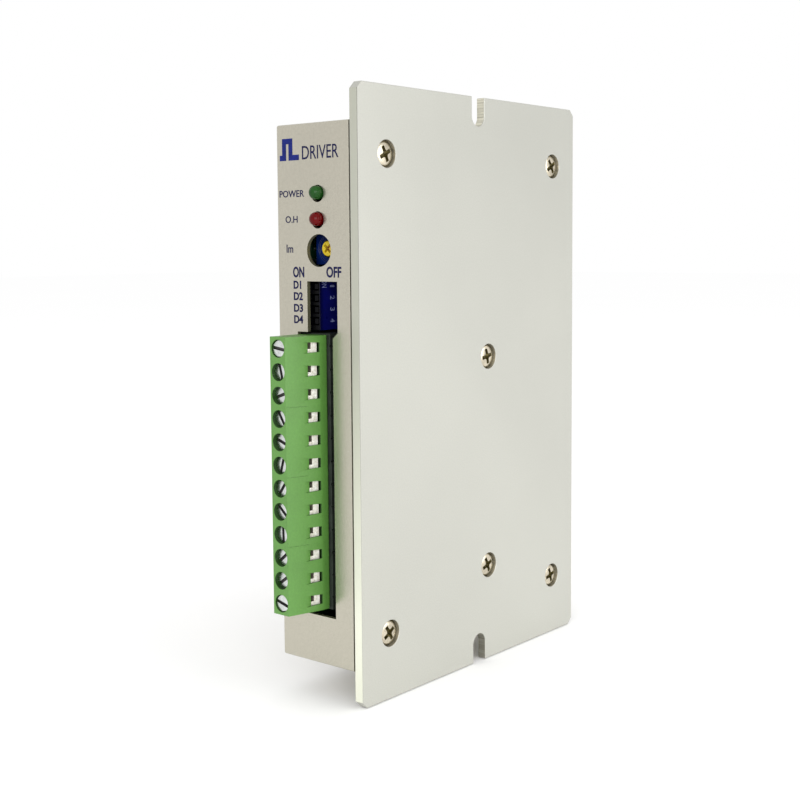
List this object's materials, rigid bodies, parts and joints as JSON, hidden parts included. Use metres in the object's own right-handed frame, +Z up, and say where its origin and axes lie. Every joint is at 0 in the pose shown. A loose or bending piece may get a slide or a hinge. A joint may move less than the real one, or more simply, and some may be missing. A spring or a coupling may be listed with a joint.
{
  "type": "stepper driver module",
  "caption": "Flat aluminium base plate with a shallow folded cover behind it, a pluggable screw terminal block, lever switches, a trimmer and two lamps on the narrow front.",
  "frame": {"origin": "middle of the base plate's outer (mounting) face", "axes": "+X out of the plate's mounting face, -Y out of the narrow front with the terminals, +Z up along the plate"},
  "size_m": [0.024, 0.093, 0.1352],
  "materials": {
    "anodised_aluminium": "matt silver anodised",
    "champagne_enamel": "satin champagne beige, metallic",
    "board_laminate": "green solder mask",
    "natural_nylon": "natural",
    "nickel_screw": "nickel plated",
    "steel_bar": "plain",
    "grey_silicone": "matt",
    "black_epoxy": "moulded",
    "dark_sleeve": "shrink sleeve",
    "green_lens": "clear tinted",
    "red_lens": "clear tinted",
    "blue_plastic": "moulded",
    "yellow_plastic": "moulded",
    "black_polyamide": "moulded",
    "green_polyamide": "satin moulded",
    "zinc_screw": "zinc plated",
    "tinned_clamp": "tinned"
  },
  "bodies": {
    "module": {"base_plate": "anodised_aluminium", "cover": "champagne_enamel", "main_pcb": "board_laminate", "pcb_support_1": "natural_nylon", "pcb_support_2": "natural_nylon", "pcb_support_3": "natural_nylon", "pcb_support_4": "natural_nylon", "plate_screw_1": "nickel_screw", "plate_screw_2": "nickel_screw", "plate_screw_3": "nickel_screw", "plate_screw_4": "nickel_screw", "clamp_screw_1": "nickel_screw", "clamp_screw_2": "nickel_screw", "clamp_bar": "steel_bar", "thermal_pad": "grey_silicone", "power_device_1": "black_epoxy", "power_device_2": "black_epoxy", "power_device_3": "black_epoxy", "power_device_4": "black_epoxy", "controller_chip": "black_epoxy", "optocoupler_1": "black_epoxy", "optocoupler_2": "black_epoxy", "optocoupler_3": "black_epoxy", "bulk_capacitor_1": "dark_sleeve", "bulk_capacitor_2": "dark_sleeve", "led_green": "green_lens", "led_red": "red_lens", "trimmer_body": "blue_plastic", "dip_body": "blue_plastic", "terminal_header": "black_polyamide"},
    "plug": {"plug_housing": "green_polyamide"},
    "trimmer": {"trimmer_rotor": "yellow_plastic"},
    "screw_1": {"terminal_screw_1": "zinc_screw"},
    "clamp_1": {"wire_clamp_1": "tinned_clamp"},
    "screw_2": {"terminal_screw_2": "zinc_screw"},
    "clamp_2": {"wire_clamp_2": "tinned_clamp"},
    "screw_3": {"terminal_screw_3": "zinc_screw"},
    "clamp_3": {"wire_clamp_3": "tinned_clamp"},
    "screw_4": {"terminal_screw_4": "zinc_screw"},
    "clamp_4": {"wire_clamp_4": "tinned_clamp"},
    "screw_5": {"terminal_screw_5": "zinc_screw"},
    "clamp_5": {"wire_clamp_5": "tinned_clamp"},
    "screw_6": {"terminal_screw_6": "zinc_screw"},
    "clamp_6": {"wire_clamp_6": "tinned_clamp"},
    "screw_7": {"terminal_screw_7": "zinc_screw"},
    "clamp_7": {"wire_clamp_7": "tinned_clamp"},
    "screw_8": {"terminal_screw_8": "zinc_screw"},
    "clamp_8": {"wire_clamp_8": "tinned_clamp"},
    "screw_9": {"terminal_screw_9": "zinc_screw"},
    "clamp_9": {"wire_clamp_9": "tinned_clamp"},
    "screw_10": {"terminal_screw_10": "zinc_screw"},
    "clamp_10": {"wire_clamp_10": "tinned_clamp"},
    "screw_11": {"terminal_screw_11": "zinc_screw"},
    "clamp_11": {"wire_clamp_11": "tinned_clamp"},
    "screw_12": {"terminal_screw_12": "zinc_screw"},
    "clamp_12": {"wire_clamp_12": "tinned_clamp"},
    "lever_1": {"dip_lever_1": "black_polyamide"},
    "lever_2": {"dip_lever_2": "black_polyamide"},
    "lever_3": {"dip_lever_3": "black_polyamide"},
    "lever_4": {"dip_lever_4": "black_polyamide"}
  },
  "joints": [
    {"name": "plug_slide", "type": "slide", "parent": "module", "child": "plug", "axis": [0, -1, 0], "range_m": [0, 0.008]},
    {"name": "screw_turn_1", "type": "hinge", "parent": "plug", "child": "screw_1", "pos_m": [-0.01565, -0.0504, 0.01115], "axis": [0, 1, 0], "range_deg": [-1050, 530]},
    {"name": "clamp_rise_1", "type": "slide", "parent": "plug", "child": "clamp_1", "axis": [0, -1, 0], "range_m": [-0.00131, 0.00066]},
    {"name": "screw_turn_2", "type": "hinge", "parent": "plug", "child": "screw_2", "pos_m": [-0.01565, -0.0504, 0.00607], "axis": [0, 1, 0], "range_deg": [-1050, 530]},
    {"name": "clamp_rise_2", "type": "slide", "parent": "plug", "child": "clamp_2", "axis": [0, -1, 0], "range_m": [-0.00131, 0.00066]},
    {"name": "screw_turn_3", "type": "hinge", "parent": "plug", "child": "screw_3", "pos_m": [-0.01565, -0.0504, 0.00099], "axis": [0, 1, 0], "range_deg": [-1050, 530]},
    {"name": "clamp_rise_3", "type": "slide", "parent": "plug", "child": "clamp_3", "axis": [0, -1, 0], "range_m": [-0.00131, 0.00066]},
    {"name": "screw_turn_4", "type": "hinge", "parent": "plug", "child": "screw_4", "pos_m": [-0.01565, -0.0504, -0.00409], "axis": [0, 1, 0], "range_deg": [-1050, 530]},
    {"name": "clamp_rise_4", "type": "slide", "parent": "plug", "child": "clamp_4", "axis": [0, -1, 0], "range_m": [-0.00131, 0.00066]},
    {"name": "screw_turn_5", "type": "hinge", "parent": "plug", "child": "screw_5", "pos_m": [-0.01565, -0.0504, -0.00917], "axis": [0, 1, 0], "range_deg": [-1050, 530]},
    {"name": "clamp_rise_5", "type": "slide", "parent": "plug", "child": "clamp_5", "axis": [0, -1, 0], "range_m": [-0.00131, 0.00066]},
    {"name": "screw_turn_6", "type": "hinge", "parent": "plug", "child": "screw_6", "pos_m": [-0.01565, -0.0504, -0.01425], "axis": [0, 1, 0], "range_deg": [-1050, 530]},
    {"name": "clamp_rise_6", "type": "slide", "parent": "plug", "child": "clamp_6", "axis": [0, -1, 0], "range_m": [-0.00131, 0.00066]},
    {"name": "screw_turn_7", "type": "hinge", "parent": "plug", "child": "screw_7", "pos_m": [-0.01565, -0.0504, -0.01933], "axis": [0, 1, 0], "range_deg": [-1050, 530]},
    {"name": "clamp_rise_7", "type": "slide", "parent": "plug", "child": "clamp_7", "axis": [0, -1, 0], "range_m": [-0.00131, 0.00066]},
    {"name": "screw_turn_8", "type": "hinge", "parent": "plug", "child": "screw_8", "pos_m": [-0.01565, -0.0504, -0.02441], "axis": [0, 1, 0], "range_deg": [-1050, 530]},
    {"name": "clamp_rise_8", "type": "slide", "parent": "plug", "child": "clamp_8", "axis": [0, -1, 0], "range_m": [-0.00131, 0.00066]},
    {"name": "screw_turn_9", "type": "hinge", "parent": "plug", "child": "screw_9", "pos_m": [-0.01565, -0.0504, -0.02949], "axis": [0, 1, 0], "range_deg": [-1050, 530]},
    {"name": "clamp_rise_9", "type": "slide", "parent": "plug", "child": "clamp_9", "axis": [0, -1, 0], "range_m": [-0.00131, 0.00066]},
    {"name": "screw_turn_10", "type": "hinge", "parent": "plug", "child": "screw_10", "pos_m": [-0.01565, -0.0504, -0.03457], "axis": [0, 1, 0], "range_deg": [-1050, 530]},
    {"name": "clamp_rise_10", "type": "slide", "parent": "plug", "child": "clamp_10", "axis": [0, -1, 0], "range_m": [-0.00131, 0.00066]},
    {"name": "screw_turn_11", "type": "hinge", "parent": "plug", "child": "screw_11", "pos_m": [-0.01565, -0.0504, -0.03965], "axis": [0, 1, 0], "range_deg": [-1050, 530]},
    {"name": "clamp_rise_11", "type": "slide", "parent": "plug", "child": "clamp_11", "axis": [0, -1, 0], "range_m": [-0.00131, 0.00066]},
    {"name": "screw_turn_12", "type": "hinge", "parent": "plug", "child": "screw_12", "pos_m": [-0.01565, -0.0504, -0.04473], "axis": [0, 1, 0], "range_deg": [-1050, 530]},
    {"name": "clamp_rise_12", "type": "slide", "parent": "plug", "child": "clamp_12", "axis": [0, -1, 0], "range_m": [-0.00131, 0.00066]},
    {"name": "trimmer_turn", "type": "hinge", "parent": "module", "child": "trimmer", "pos_m": [-0.01135, -0.0395, 0.0325], "axis": [0, 1, 0], "range_deg": [-135, 135]},
    {"name": "lever_rock_1", "type": "hinge", "parent": "module", "child": "lever_1", "pos_m": [-0.0144, -0.0373, 0.02426], "axis": [0, 0, -1], "range_deg": [0, 22]},
    {"name": "lever_rock_2", "type": "hinge", "parent": "module", "child": "lever_2", "pos_m": [-0.0144, -0.0373, 0.02172], "axis": [0, 0, -1], "range_deg": [0, 22]},
    {"name": "lever_rock_3", "type": "hinge", "parent": "module", "child": "lever_3", "pos_m": [-0.0144, -0.0373, 0.01918], "axis": [0, 0, -1], "range_deg": [0, 22]},
    {"name": "lever_rock_4", "type": "hinge", "parent": "module", "child": "lever_4", "pos_m": [-0.0144, -0.0373, 0.01664], "axis": [0, 0, -1], "range_deg": [0, 22]}
  ],
  "couplings": [
    {"joint": "screw_turn_1", "follows": "clamp_rise_1", "rad_per_m": 13963},
    {"joint": "screw_turn_2", "follows": "clamp_rise_2", "rad_per_m": 13963},
    {"joint": "screw_turn_3", "follows": "clamp_rise_3", "rad_per_m": 13963},
    {"joint": "screw_turn_4", "follows": "clamp_rise_4", "rad_per_m": 13963},
    {"joint": "screw_turn_5", "follows": "clamp_rise_5", "rad_per_m": 13963},
    {"joint": "screw_turn_6", "follows": "clamp_rise_6", "rad_per_m": 13963},
    {"joint": "screw_turn_7", "follows": "clamp_rise_7", "rad_per_m": 13963},
    {"joint": "screw_turn_8", "follows": "clamp_rise_8", "rad_per_m": 13963},
    {"joint": "screw_turn_9", "follows": "clamp_rise_9", "rad_per_m": 13963},
    {"joint": "screw_turn_10", "follows": "clamp_rise_10", "rad_per_m": 13963},
    {"joint": "screw_turn_11", "follows": "clamp_rise_11", "rad_per_m": 13963},
    {"joint": "screw_turn_12", "follows": "clamp_rise_12", "rad_per_m": 13963}
  ]
}
